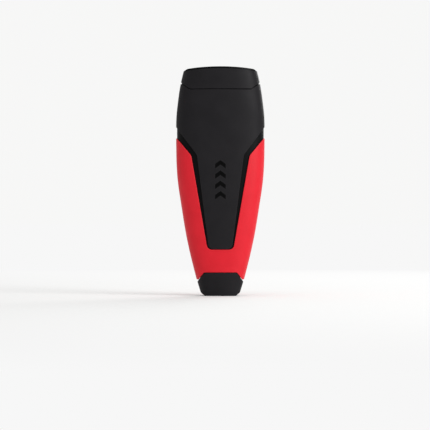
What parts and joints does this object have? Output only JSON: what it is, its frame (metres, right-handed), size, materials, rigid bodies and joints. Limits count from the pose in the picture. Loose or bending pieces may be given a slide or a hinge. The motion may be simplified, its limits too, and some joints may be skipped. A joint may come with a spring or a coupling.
{
  "type": "retractable dust brush",
  "caption": "Flat oval hand brush with a tapering handle whose soft flat brush head slides out of the mouth and back with a thumb slider on the back.",
  "frame": {"origin": "middle of the object's box at its base, where the flat end of the tail cap stands", "axes": "+Z along the length towards the mouth, +X across the width, -Y is the front with the arrow marks, +Y is the back with the thumb slider"},
  "size_m": [0.038, 0.017, 0.098],
  "materials": {
    "graphite_abs": "fine matte moulded texture",
    "black_abs": "satin",
    "red_abs": "satin",
    "black_print": "dark inlay",
    "nylon_bristle": "fine filaments",
    "zinc_steel": "zinc plated",
    "spring_steel": "rolled strip",
    "brass": "drawn"
  },
  "bodies": {
    "handle": {"front_chassis": "black_abs", "rear_chassis": "black_abs", "front_grip_cover": "red_abs", "rear_grip_cover": "red_abs", "front_panel": "graphite_abs", "rear_panel": "graphite_abs", "arrow_inlays": "black_print", "nose_collar": "graphite_abs", "mouth_liner": "black_abs", "tail_cap": "graphite_abs", "chassis_screws": "zinc_steel"},
    "brush_carriage": {"carriage": "black_abs", "thumb_slider": "red_abs", "slider_screws": "zinc_steel", "detent_spring_left": "spring_steel", "detent_spring_right": "spring_steel", "spring_rivets": "brass", "bristle_holder": "black_abs", "holder_pins": "zinc_steel", "bristle_row_front": "nylon_bristle", "bristle_row_middle": "nylon_bristle", "bristle_row_rear": "nylon_bristle", "tuft_anchors": "brass"}
  },
  "joints": [
    {"name": "brush_slide", "type": "slide", "parent": "handle", "child": "brush_carriage", "axis": [0, 0, 1], "range_m": [0, 0.024], "deforming": ["detent_spring_left", "detent_spring_right"]}
  ]
}
